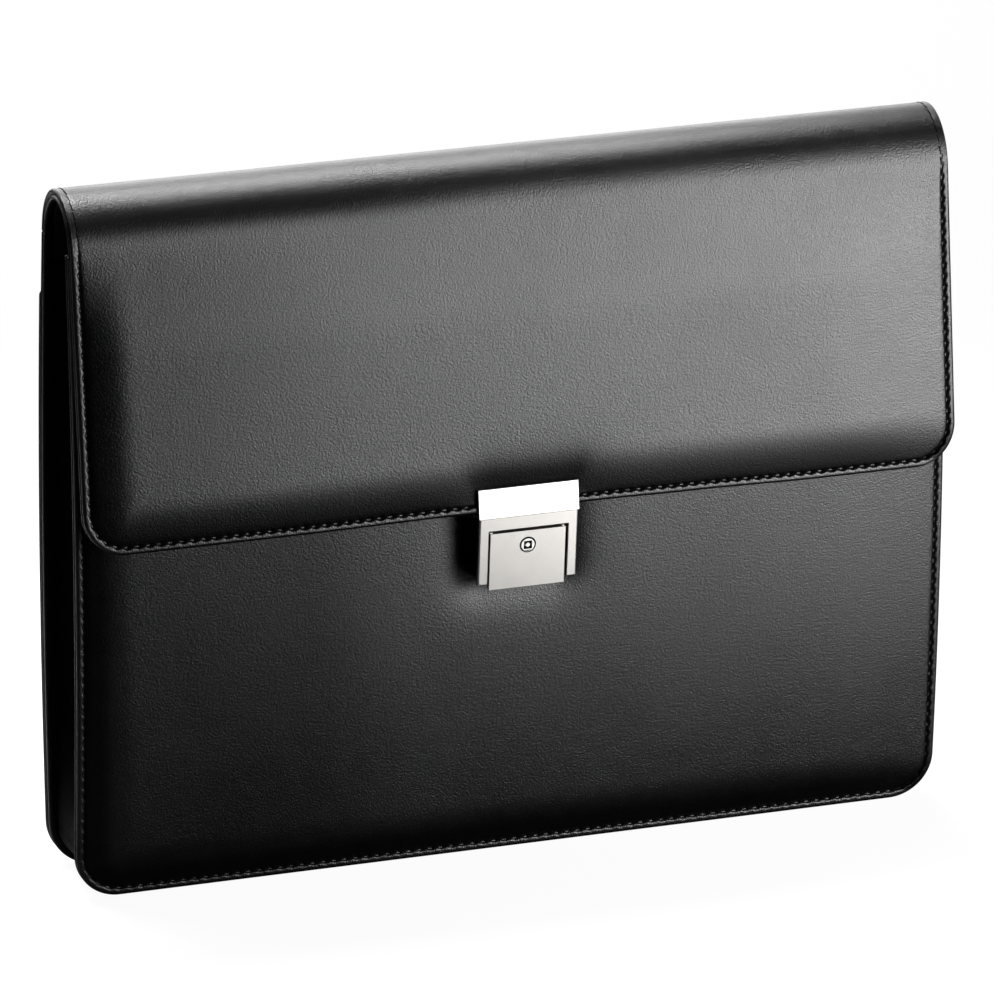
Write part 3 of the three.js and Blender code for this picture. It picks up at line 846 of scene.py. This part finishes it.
def lacquer_material():
    """Black lacquered steel of the lock case."""
    n = new_material("black_lacquer")
    place = n.object_place()
    speckle = n.noise(place, 2.0, detail=3.0)
    colour = n.ramp(speckle, [(0.3, 0.006), (0.7, 0.014)])
    rough = n.math("ADD", n.math("MULTIPLY", speckle, 0.2), 0.3)
    n.principled(Base_Color=colour, Roughness=rough, Normal=n.bump(speckle, 0.2, 0.03 * MM))
    return n.owner


def board_material():
    """Grey fibre board inside the panels."""
    n = new_material("fibre_board")
    fibres = n.noise(n.scaled(n.object_place(), (0.3, 1, 1.6)), 1.2, detail=6.0, roughness=0.65)
    colour = n.ramp(fibres, [(0.3, (0.10, 0.085, 0.07)), (0.7, (0.17, 0.15, 0.125))])
    n.principled(Base_Color=colour, Roughness=0.9, Normal=n.bump(fibres, 0.4, 0.1 * MM))
    return n.owner


leather = leather_material("black_leather", 0.0004, 0.0012, 0.30)
# painted shade: the gusset's copy of the leather is darker and nearly without gloss, for the deep gap
# between the panels
gusset_leather = leather_material("gusset_leather", 0.0003, 0.001, 0.55, grain=0.7, shine=0.04)
lining_cloth = cloth_material("black_lining", 0.001, 0.004)
thread = thread_material()
nickel = metal_material("satin_nickel", NICKEL, 0.32)
frame_nickel = frame_material()
bright_nickel = metal_material("bright_nickel", (0.62, 0.605, 0.585), 0.42, BRUSHED_ALONG_X)
# painted shade: the hidden lock parts get near-black steel so that the gaps showing them read as shade
gap_shade_steel = metal_material("gap_shade_steel", (0.06, 0.06, 0.062), 0.4)
steel = metal_material("zinc_steel", (0.52, 0.52, 0.51), 0.34)
lacquer = lacquer_material()
board = board_material()
plug_nickel = keyway_material()


# How the leather swells, gives way round the lock, and where painted shade takes its gloss
# away: lengths in millimetres, and shares of 1
SWELL_HOLD = 0.45
RIGHT_SWELL_REACH = 60
LOCK_DENT = 1.0
# painted shade: the left parts of the front panel and the flap lose gloss, as the light falls from the
# right
FRONT_LEFT_SHADE = 0.48
HEM_PULL = 0.5
FLAP_LEFT_SHADE = 0.3
ARCH_PUFF = 0.06
# painted shade: a dull band along the crease below the arch, the dark band under the arch's highlight
CREASE_RISE = 12
CREASE_REACH = 5
CREASE_SHADE = 0.8
POCKET_PUFF = 0.6


def swell_rise(run, reach):
    """0 to 1: a steady slope for the first part of the reach, which then eases to flat."""
    share = np.clip(run / reach, 0, 1)
    eased = np.clip((share - SWELL_HOLD) / (1 - SWELL_HOLD), 0, 1)
    rise = share - (1 - SWELL_HOLD) * (eased ** 3 - eased ** 4 / 2)
    return rise / (1 - (1 - SWELL_HOLD) / 2)


def padding(outline, height, reach, full, none):
    """How far the padded face swells out: fully up to one t, and not at all above another.

    It rises quickly from the lower and the left edge and slowly from the right one.
    """
    near = edge_nearness(outline)

    def field(x, t):
        swell = swell_rise(near(x, t) - STITCH_INSET, reach)
        swell = swell * swell_rise(outline.half - x - STITCH_INSET, RIGHT_SWELL_REACH)
        return -height * swell * soft_step(t, none, full)

    return field


def distance_outside(x, t, half_width, low, high):
    """How far a point lies outside a rectangle, and 0 inside it."""
    away_x = np.maximum(np.abs(x) - half_width, 0)
    away_t = np.maximum(np.maximum(low - t, t - high), 0)
    return np.hypot(away_x, away_t)


def pressed(swell, half_width, low, high, reach):
    """The padded face pressed down inside a rectangle, with a soft rim round it."""

    def field(x, t):
        mask = np.exp(-(distance_outside(x, t, half_width, low, high) / reach) ** 1.6)
        return swell(x, t) * (1 - mask) + LOCK_DENT * mask

    return field


def edge_nearness(outline):
    """Distance from the left or the lower edge, whichever is nearer, round the corner too."""
    radius = outline.low_radius

    def near(x, t):
        side = outline.half + x
        floor = t - outline.low
        corner = radius - np.hypot(np.maximum(radius - side, 0), np.maximum(radius - floor, 0))
        return np.where((side < radius) & (floor < radius), corner, np.minimum(side, floor))

    return near


def painted_seam_lock_shade(near, start, end, top, half_width, low, high, reach):
    """Painted shade, as gloss taken away: beside the left and lower seam, and round the lock where its
    shadow falls.
    """

    def share(x, t):
        seam = soft_step(near(x, t), end, start) * soft_step(t, top + 20, top - 30)
        lock = np.exp(-(distance_outside(x, t, half_width, low, high) / reach) ** 2)
        return np.where(near(x, t) > STITCH_INSET, np.maximum(seam, lock), 0.0)

    return share


def slow_waves(amount, seed):
    """Shallow waves, the sum of a few long sines."""
    random = np.random.RandomState(seed)
    waves = [
        (random.uniform(0.5, 1.0), random.uniform(-1, 1, 2) * 2 * math.pi / random.uniform(55, 130),
         random.uniform(0, 2 * math.pi))
        for _ in range(7)
    ]

    def field(x, t):
        total = sum(size * np.sin(way[0] * x + way[1] * t + phase) for size, way, phase in waves)
        return amount * total / len(waves)

    return field


def both(*fields):
    """The sum of fields."""
    return lambda x, t: sum(field(x, t) for field in fields)


# Pieces; follows is the body that a piece is parented to, or a blend of two bodies, for which a piece here
# only has its transform baked


def leather_piece(name, outline, place, thickness, field, replaces, puff=None, painted_shade=None, pull=None,
                  keep=None, **follows):
    """A leather skin with its row of stitches."""
    skin = leather_panel(name + "_leather", outline, place, thickness, field, puff, painted_shade, pull)
    finish_piece(skin, leather, "leather", replaces=replaces, **follows)
    stitches = stitch_row(name + "_stitches", outline, place, keep=keep, puff=puff)
    finish_piece(stitches, thread, "leather", **follows)


def lining_piece(name, height, low_radius, place, replaces, **follows):
    """The cloth on the inner side of a leather piece that is as wide as the folder."""
    margin = LINING_MARGIN
    outline = RoundedRectangle(HALF - margin, margin, height - margin, low_radius - margin, 1.0)
    lining = cloth_panel(name + "_lining_cloth", outline, place, PANEL - LINING, PANEL - LINING_SINK)
    finish_piece(lining, lining_cloth, "lining", replaces=replaces, **follows)


def make_front_panel():
    outline = RoundedRectangle(HALF, 0, HEIGHT, CORNER_RADIUS, UPPER_RADIUS)
    swell = padding(outline, height=3.3, reach=22, full=165, none=258)
    mark = pressed(swell, half_width=frame_right - 7, low=press_bottom + 6, high=clasp_high[2], reach=12)
    field = both(mark, slow_waves(0.3, seed=4))
    # painted shade beside the left and lower seam and round the lock
    seam_lock_shade = painted_seam_lock_shade(edge_nearness(outline), start=9, end=21, top=HEIGHT, half_width=frame_right + 2,
                     low=press_bottom + 2, high=clasp_high[2], reach=6)

    def pull(x, t):
        """The stitches pull less along the bottom hem than up the sides."""
        return HEM_PULL + (1 - HEM_PULL) * soft_step(t, CORNER_RADIUS / 2, 2 * CORNER_RADIUS)

    def painted_shade(x, t):
        """Painted shade beside the left and lower seam, round the lock and over the left part."""
        return np.maximum(seam_lock_shade(x, t), FRONT_LEFT_SHADE * soft_step(x, -40, -95))

    leather_piece("front_panel", outline, place_front, PANEL, field, ["front_panel_skin"],
                  painted_shade=painted_shade, pull=pull, body="front")
    lining_piece("front_panel", HEIGHT, CORNER_RADIUS, place_front, ["front_panel_lining"], body="front")


def make_rear_panel():
    outline = RoundedRectangle(HALF, 0, HEIGHT, CORNER_RADIUS, UPPER_RADIUS)
    waves = slow_waves(0.2, seed=9)
    # below the pocket's edge the pocket's own stitches show
    leather_piece("rear_panel", outline, place_rear, PANEL, waves, ["rear_panel_skin"],
                  keep=lambda x, t: t > POCKET_HEIGHT + 2, body="rear")
    lining_piece("rear_panel", HEIGHT, CORNER_RADIUS, place_rear, ["rear_panel_lining"], body="rear")


def make_rear_pocket():
    outline = RoundedRectangle(HALF, 0, POCKET_HEIGHT, CORNER_RADIUS, POCKET_UPPER_RADIUS)
    outer = POCKET_GAP + POCKET

    def place(x, t, depth):
        return np.column_stack([x, rear_face(t) + outer - depth, t])

    def puff(x, t):
        return POCKET_PUFF * full_share(x, t)

    waves = slow_waves(0.3, seed=12)
    leather_piece("rear_pocket", outline, place, POCKET, waves, ["rear_pocket"], puff=puff, body="rear")


def make_flap():
    """The flap and the arch, which are one sheet that bends at the fold between them."""
    length = top_path.length
    outline = RoundedRectangle(HALF, 0, length, FLAP_RADIUS, UPPER_RADIUS)
    swell = padding(outline, height=3.2, reach=21, full=FLAP_LENGTH - 45, none=FLAP_LENGTH + 5)
    mark = pressed(swell, half_width=clasp_high[0] - 7, low=0, high=clasp_height - 9, reach=13)
    field = both(mark, slow_waves(0.3, seed=21))
    # painted shade beside the left and lower seam and round the clasp
    seam_lock_shade = painted_seam_lock_shade(edge_nearness(outline), start=6, end=26, top=FLAP_LENGTH, half_width=clasp_high[0],
                     low=0, high=clasp_height, reach=9)

    def puff(x, t):
        """The turned edge is flatter on the arch than on the flap."""
        return 1 - (1 - ARCH_PUFF) * soft_step(t, FLAP_LENGTH - 15, FLAP_LENGTH + 12)

    def painted_shade(x, t):
        """Painted shade beside the left and lower seam, round the clasp, over the left part below the
        crease, and along the left half of the crease below the arch.
        """
        crease = np.exp(-((t - FLAP_LENGTH - CREASE_RISE) / CREASE_REACH) ** 2) * soft_step(x, 30, -90)
        below_crease = soft_step(t, FLAP_LENGTH + 12, FLAP_LENGTH - 12)
        left = FLAP_LEFT_SHADE * soft_step(x, -50, -165) * below_crease
        return np.maximum(seam_lock_shade(x, t), np.maximum(CREASE_SHADE * crease, left))

    blend = ("arch", "flap", FOLD_START, FOLD_END)
    leather_piece("flap", outline, top_path.place, PANEL, field, ["flap_skin", "arch_skin"],
                  puff=puff, painted_shade=painted_shade, blend=blend)
    lining_piece("flap", length, FLAP_RADIUS, top_path.place, ["flap_lining", "arch_lining"], blend=blend)


def make_hinge_cloth():
    """A strip inside the top that bridges the rear panel's lining and the arch's lining."""
    top = top_path.length
    below = HINGE_WIDTH / 2

    def place(x, t, depth):
        deep = np.full(len(x), PANEL) + depth
        on_arch = top_path.place(x, np.clip(top - (t - below), 0, top), deep)
        on_rear = place_rear(x, HEIGHT - (below - t), deep)
        return np.where((t > below)[:, None], on_arch, on_rear)

    outline = RoundedRectangle(HALF - HINGE_INSET, 0, HINGE_WIDTH, 1.0, 1.0)
    strip = cloth_panel("hinge_cloth", outline, place, LINING_SINK, LINING_SINK + HINGE_THICKNESS)
    blend = ("rear", "arch", HINGE_BEND_START, HINGE_BEND_END)
    finish_piece(strip, lining_cloth, "lining", blend=blend)


def u_path():
    """The gusset's line: down the left side, round both lower corners and up the right side."""
    radius = CORNER_RADIUS - GUSSET_INSET
    centre_x, centre_z = HALF - CORNER_RADIUS, CORNER_RADIUS
    top = frame_box("gusset_left")[1][2]
    side = [(-(HALF - GUSSET_INSET), z) for z in np.arange(top, centre_z, -GUSSET_STEP)]
    angles = np.linspace(0, math.pi / 2, 13)
    corner = [(-centre_x - radius * math.cos(a), centre_z - radius * math.sin(a)) for a in angles]
    half = side + corner
    bottom = [(x, GUSSET_INSET) for x in np.linspace(-centre_x, centre_x, GUSSET_BOTTOM_POINTS)[1:-1]]
    mirrored = [(-x, z) for x, z in reversed(half)]
    return np.array(half + bottom + mirrored)


def gusset_row(x, z, way):
    """One cross section of the gusset, from the front panel over the fold to the rear panel."""
    away = PANEL + GUSSET_CLEARANCE
    y_front = front_face(z) + away + GUSSET_THICKNESS / 2
    y_rear = rear_face(z) - away - GUSSET_THICKNESS / 2
    climb = min(max((z - CORNER_RADIUS) / GUSSET_RISE, 0), 1)
    fold = (GUSSET_FOLD - GUSSET_SEAM) * climb * climb * (3 - 2 * climb) + GUSSET_LEAST_FOLD
    flange = min(GUSSET_SEAM, 1 + 3 * climb)
    points = []
    for u in np.linspace(0, 1, GUSSET_ACROSS):
        lean = abs(2 * u - 1)
        if lean > GUSSET_FREE:
            deep = flange * (1 - lean) / (1 - GUSSET_FREE)
            y = y_front if u < 0.5 else y_rear
        else:
            inner = lean / GUSSET_FREE
            slope = math.sqrt(inner * inner + GUSSET_ROUND) / math.sqrt(1 + GUSSET_ROUND)
            deep = flange + fold * (1 - slope)
            y = (y_front + y_rear) / 2 + (y_rear - y_front) / 2 * (inner if u > 0.5 else -inner)
        points.append((x + way[0] * deep, y, z + way[1] * deep))
    return points


def make_gusset():
    path = u_path()
    tangent = np.gradient(path, axis=0)
    tangent /= np.linalg.norm(tangent, axis=1)[:, None]
    inward = np.stack([-tangent[:, 1], tangent[:, 0]], 1)
    length = np.concatenate([[0], np.cumsum(np.linalg.norm(np.diff(path, axis=0), axis=1))])
    points, rest = [], []
    for (x, z), way, run in zip(path, inward, length):
        points += gusset_row(x, z, way)
        rest += [(run, (u - 0.5) * GUSSET_FLAT_WIDTH, 0) for u in np.linspace(0, 1, GUSSET_ACROSS)]
    gusset = make_mesh("gusset_leather", points, grid_faces(0, GUSSET_ACROSS, len(path)), rest)
    thick = gusset.modifiers.new("thickness", "SOLIDIFY")
    thick.thickness = GUSSET_THICKNESS * MM
    thick.offset = 0
    blend = ("rear", "front", GUSSET_BEND_START, GUSSET_BEND_END)
    finish_piece(gusset, gusset_leather, "leather", blend=blend,
                 replaces=["gusset_left", "gusset_right", "gusset_bottom"])


def make_divider():
    """A stiff lined sheet half way between the panels, with a flat pocket on its front."""
    half = DIVIDER_THICKNESS / 2

    def place(x, t, depth):
        return np.column_stack([x, (front_face(t) + rear_face(t)) / 2 + depth, t])

    low, high = frame_box("divider")
    outline = RoundedRectangle(high[0], low[2], high[2], DIVIDER_RADIUS, DIVIDER_RADIUS)
    sheet = cloth_panel("divider_cloth", outline, place, -half, half)
    finish_piece(sheet, lining_cloth, "lining", body="divider", replaces=["divider"])
    low, high = frame_box("divider_pocket")
    outline = RoundedRectangle(high[0], low[2], high[2], DIVIDER_RADIUS, POCKET_UPPER_RADIUS)
    back = -half - DIVIDER_POCKET_GAP
    front = back - DIVIDER_POCKET_THICKNESS
    pocket = cloth_panel("divider_pocket_cloth", outline, place, front, back)
    finish_piece(pocket, lining_cloth, "lining", body="divider", replaces=["divider_pocket"])
    stitches = stitch_row("divider_pocket_stitches", outline, place, front, inset=DIVIDER_STITCH_INSET)
    finish_piece(stitches, thread, "lining", body="divider")


def dress_node(node, material, bevel):
    """Keeps a CAD node's shape, softens its edges and gives it a finish."""
    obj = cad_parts[node]
    obj.data.materials.clear()
    obj.data.materials.append(material)
    if bevel:
        soften = obj.modifiers.new("soft_edges", "BEVEL")
        soften.width = bevel * MM
        soften.segments = 3
        soften.limit_method = "ANGLE"
        soften.angle_limit = math.radians(35)
        soften.harden_normals = True


def dress_lock_and_boards():
    """Each finish with its bevel in millimetres and the nodes that have it."""
    finishes = [
        (bright_nickel, 0.25, ["clasp_plate"]),
        (frame_nickel, 0.15, ["clasp_frame"]),
        (nickel, 0.2, ["press_plate", "clasp_back_plate"]),
        (plug_nickel, 0.1, ["key_plug"]),
        (lacquer, 0.15, ["lock_case"]),
        (steel, 0, ["clasp_rivet_left", "clasp_rivet_right", "press_pin", "press_spring",
                    "lock_back_plate", "lock_screw_left", "lock_screw_right"]),
        # painted shade: near-black steel on the hidden parts behind the gaps
        (gap_shade_steel, 0, ["clasp_keeper", "latch_hook", "key_sleeve", "key_cam"]),
        (board, 0, ["rear_panel_board", "front_panel_board", "flap_board"]),
    ]
    for material, bevel, nodes in finishes:
        for node in nodes:
            dress_node(node, material, bevel)


make_rear_panel()
make_rear_pocket()
make_gusset()
make_divider()
make_front_panel()
make_flap()
make_hinge_cloth()
dress_lock_and_boards()


# Floor, light and camera


FLOOR_REACH = 12.0
FLOOR_GLOW = 0.93
FLOOR_GREY = 0.08
GLOSSY_SHARE = 0.03
WORLD_LIGHT = 0.02


def make_floor():
    """A white floor: plain white to the camera, and lit in part so that the shadow shows."""
    mesh = bpy.data.meshes.new("floor")
    corners = [(x * FLOOR_REACH, y * FLOOR_REACH, 0) for x, y in ((-1, -1), (1, -1), (1, 1), (-1, 1))]
    mesh.from_pydata(corners, [], [(0, 1, 2, 3)])
    floor = add_object("floor", mesh)
    n = new_material("floor")
    path = n.add("LightPath")
    seen = n.seen_directly(path)
    share = n.math("MULTIPLY", seen, FLOOR_GLOW)
    lit = n.add("BsdfDiffuse")
    n.link(n.math("MAXIMUM", seen, FLOOR_GREY), lit.inputs["Color"])
    glow = n.add("Emission")
    glow.inputs["Strength"].default_value = 1.0
    mix = n.add("MixShader")
    n.link(share, mix.inputs["Fac"])
    n.link(lit.outputs[0], mix.inputs[1])
    n.link(glow.outputs[0], mix.inputs[2])
    n.link(mix.outputs[0], n.output.inputs["Surface"])
    mesh.materials.append(n.owner)


def make_world():
    """Pale surroundings: white where seen directly, dimmer as light."""
    world = bpy.data.worlds.new("studio")
    bpy.context.scene.world = world
    n = Nodes(world, "OutputWorld")
    path = n.add("LightPath")
    seen = n.seen_directly(path)
    mirrored = n.math("MULTIPLY", path.outputs["Is Glossy Ray"], GLOSSY_SHARE)
    background = n.add("Background")
    strength = n.math("MAXIMUM", n.math("MAXIMUM", seen, mirrored), WORLD_LIGHT)
    n.link(strength, background.inputs["Strength"])
    n.link(background.outputs[0], n.output.inputs["Surface"])


def aim_lamp(name, data, place, target):
    """Stands a lamp at a place, pointing at a target; the camera doesn't see it."""
    lamp = add_object(name, data)
    lamp.location = place
    lamp.rotation_mode = "QUATERNION"
    lamp.rotation_quaternion = (Vector(target) - Vector(place)).to_track_quat("-Z", "Y")
    lamp.visible_camera = False


def area_light(name, place, target, width, height, power, spread=180):
    """A soft panel of light; lengths in metres."""
    data = bpy.data.lights.new(name, "AREA")
    data.shape = "RECTANGLE"
    data.size, data.size_y = width, height
    data.energy = power
    data.spread = math.radians(spread)
    aim_lamp(name, data, place, target)


def floor_spot(name, place, target, cone, power):
    """A soft round patch of light on the floor, which the metal and the leather mirror."""
    data = bpy.data.lights.new(name, "SPOT")
    data.energy = power
    data.spot_size = math.radians(cone)
    data.spot_blend = 1.0
    data.shadow_soft_size = 0.05
    aim_lamp(name, data, place, target)


def make_lights():
    area_light("front_right_panel", place=(0.60, -0.76, 0.31), target=(0.1, 0, 0.2),
               width=0.62, height=0.5, power=18)
    area_light("overhead_panel", place=(-0.12, 0.265, 0.80), target=(-0.12, 0.215, 0),
               width=0.7, height=0.30, power=6.8, spread=60)
    area_light("rear_panel", place=(0.03, 1.3, 0.75), target=(0, 0, 0.3), width=1.5, height=1.1, power=17)
    floor_spot("front_floor_spot", place=(0.62, -0.58, 0.90), target=(0.28, -0.41, 0), cone=32, power=1950)
    floor_spot("rear_floor_spot", place=(-0.75, 0.55, 0.90), target=(-0.42, 0.33, 0), cone=38, power=340)


# The camera stands to the left of the front and above it, far off with a long lens
CAMERA_AZIMUTH = math.radians(-18.94)
CAMERA_ELEVATION = math.radians(19.55)
CAMERA_ROLL = math.radians(0.11)
CAMERA_DISTANCE = 3.690
CAMERA_LENS = 320.4
SENSOR_WIDTH = 36
CAMERA_TARGET = Vector((0, SHIFT * MM, 0.150))
IMAGE_SIZE = 994
IMAGE_OFFSET = (-2.85, -3.78)


def make_camera():
    data = bpy.data.cameras.new("camera")
    data.lens = CAMERA_LENS
    data.sensor_width = SENSOR_WIDTH
    data.shift_x = -IMAGE_OFFSET[0] / IMAGE_SIZE
    data.shift_y = IMAGE_OFFSET[1] / IMAGE_SIZE
    data.clip_end = 100
    camera = add_object("camera", data)
    back = Vector((
        math.sin(CAMERA_AZIMUTH) * math.cos(CAMERA_ELEVATION),
        -math.cos(CAMERA_AZIMUTH) * math.cos(CAMERA_ELEVATION),
        math.sin(CAMERA_ELEVATION),
    ))
    camera.location = CAMERA_TARGET + back * CAMERA_DISTANCE
    camera.rotation_mode = "QUATERNION"
    aim = (-back).to_track_quat("-Z", "Y")
    camera.rotation_quaternion = aim @ Quaternion((0, 0, 1), CAMERA_ROLL)
    bpy.context.scene.camera = camera


make_floor()
make_world()
make_lights()
make_camera()

bpy.context.scene.view_settings.view_transform = "Standard"
